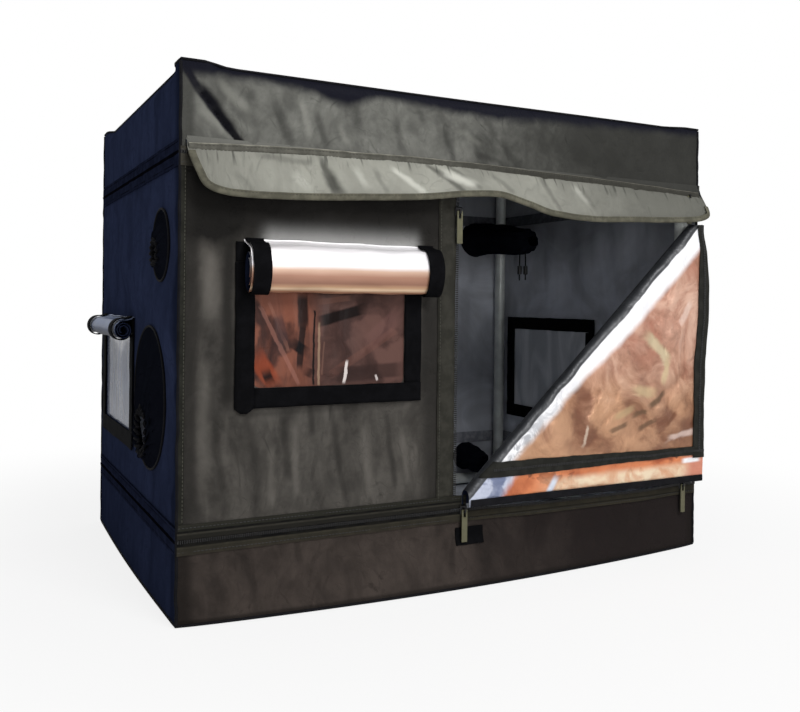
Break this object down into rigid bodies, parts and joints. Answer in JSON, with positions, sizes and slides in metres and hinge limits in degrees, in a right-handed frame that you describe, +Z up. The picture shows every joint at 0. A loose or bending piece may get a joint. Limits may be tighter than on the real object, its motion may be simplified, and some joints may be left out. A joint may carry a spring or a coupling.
{
  "type": "indoor grow tent",
  "caption": "Indoor grow tent: a pole frame in a sewn cloth cover with zips, roll-up windows, duct sleeves and a folded-back door.",
  "frame": {"origin": "middle of the tray's underside, on the surface that the tent stands on", "axes": "+X to the right along the front, +Y to the back, +Z up"},
  "size_m": [0.7931, 0.5453, 0.6],
  "materials": {
    "corner_plastic": "moulded black, fine texture",
    "pole_coating": "white powder coat",
    "base_cloth": "coated woven nylon",
    "roof_cloth": "coated woven nylon, lit from above",
    "front_cloth": "coated woven nylon",
    "side_cloth": "coated woven nylon",
    "window_film": "clear soft film, creased",
    "hook_tape": "hook-and-loop tape",
    "foil_lining": "metallised foil lining, creased",
    "sleeve_cloth": "light woven cloth, gathered",
    "zip_tape": "woven zip tape with moulded teeth",
    "slider_metal": "black lacquered die casting",
    "puller_metal": "grey lacquered die casting",
    "cord_braid": "round braided cord",
    "lock_plastic": "moulded black"
  },
  "bodies": {
    "tent": {"corner_lower_front_left": "corner_plastic", "corner_lower_front_right": "corner_plastic", "corner_lower_back_left": "corner_plastic", "corner_lower_back_right": "corner_plastic", "corner_upper_front_left": "corner_plastic", "corner_upper_front_right": "corner_plastic", "corner_upper_back_left": "corner_plastic", "corner_upper_back_right": "corner_plastic", "rail_lower_front": "pole_coating", "rail_lower_back": "pole_coating", "rail_lower_left": "pole_coating", "rail_lower_right": "pole_coating", "rail_upper_front": "pole_coating", "rail_upper_back": "pole_coating", "rail_upper_left": "pole_coating", "rail_upper_right": "pole_coating", "upright_front_left": "pole_coating", "upright_front_right": "pole_coating", "upright_back_left": "pole_coating", "upright_back_right": "pole_coating", "base_tray": "base_cloth", "roof_cap": "roof_cloth", "front_panel": "front_cloth", "left_wall": "side_cloth", "right_wall": "side_cloth", "back_wall": "side_cloth", "right_window_cover": "side_cloth", "front_window_film": "window_film", "side_window_film": "window_film", "right_window_film": "window_film", "front_window_hook_frame": "hook_tape", "side_window_hook_frame": "hook_tape", "front_roll_strap_left": "hook_tape", "front_roll_strap_right": "hook_tape", "side_roll_strap_front": "hook_tape", "side_roll_strap_back": "hook_tape", "front_window_roll": "foil_lining", "side_window_roll": "foil_lining", "cable_port_sleeve": "sleeve_cloth", "duct_port_sleeve": "sleeve_cloth", "rear_duct_sleeve": "sleeve_cloth", "rear_vent_sleeve": "sleeve_cloth", "base_zip": "zip_tape", "roof_zip": "zip_tape", "door_zip": "zip_tape", "drawcord_left": "cord_braid", "drawcord_right": "cord_braid"},
    "door": {"door_panel": "foil_lining", "door_edge_tape": "zip_tape"},
    "flap": {"roof_flap": "roof_cloth"},
    "cord_lock_left": {"cord_lock_left": "lock_plastic"},
    "cord_lock_right": {"cord_lock_right": "lock_plastic"},
    "door_slider": {"door_zip_slider": "slider_metal"},
    "door_puller": {"door_zip_puller": "puller_metal"},
    "base_left_slider": {"base_left_zip_slider": "slider_metal"},
    "base_left_puller": {"base_left_zip_puller": "puller_metal"},
    "base_right_slider": {"base_right_zip_slider": "slider_metal"},
    "base_right_puller": {"base_right_zip_puller": "puller_metal"},
    "roof_slider": {"roof_zip_slider": "slider_metal"},
    "roof_puller": {"roof_zip_puller": "puller_metal"}
  },
  "joints": [
    {"name": "door_swing", "type": "hinge", "parent": "tent", "child": "door", "pos_m": [0.3707, -0.2475, 0.274], "axis": [0, 0, 1], "range_deg": [0, 110]},
    {"name": "flap_lift", "type": "hinge", "parent": "tent", "child": "flap", "pos_m": [0, -0.24855, 0.5195], "axis": [-1, 0, 0], "range_deg": [0, 110]},
    {"name": "door_zip_slide", "type": "slide", "parent": "tent", "child": "door_slider", "axis": [0, 0, -1], "range_m": [0, 0.33]},
    {"name": "door_puller_swing", "type": "hinge", "parent": "door_slider", "child": "door_puller", "pos_m": [-0.03175, -0.2536, 0.458], "axis": [-1, 0, 0], "range_deg": [0, 85]},
    {"name": "base_left_zip_slide", "type": "slide", "parent": "tent", "child": "base_left_slider", "axis": [1, 0, 0], "range_m": [-0.3, 0.17]},
    {"name": "base_left_puller_swing", "type": "hinge", "parent": "base_left_slider", "child": "base_left_puller", "pos_m": [-0.02, -0.2536, 0.09], "axis": [-1, 0, 0], "range_deg": [0, 85]},
    {"name": "base_right_zip_slide", "type": "slide", "parent": "tent", "child": "base_right_slider", "axis": [1, 0, 0], "range_m": [-0.17, 0.012]},
    {"name": "base_right_puller_swing", "type": "hinge", "parent": "base_right_slider", "child": "base_right_puller", "pos_m": [0.346, -0.2536, 0.09], "axis": [-1, 0, 0], "range_deg": [0, 85]},
    {"name": "roof_zip_slide", "type": "slide", "parent": "tent", "child": "roof_slider", "axis": [-1, 0, 0], "range_m": [0, 0.68]},
    {"name": "roof_puller_swing", "type": "hinge", "parent": "roof_slider", "child": "roof_puller", "pos_m": [0.352, -0.2536, 0.502], "axis": [-1, 0, 0], "range_deg": [0, 10]},
    {"name": "cord_lock_left_slide", "type": "slide", "parent": "tent", "child": "cord_lock_left", "axis": [0, 0, 1], "range_m": [0, 0.012]},
    {"name": "cord_lock_right_slide", "type": "slide", "parent": "tent", "child": "cord_lock_right", "axis": [0, 0, 1], "range_m": [0, 0.012]}
  ]
}
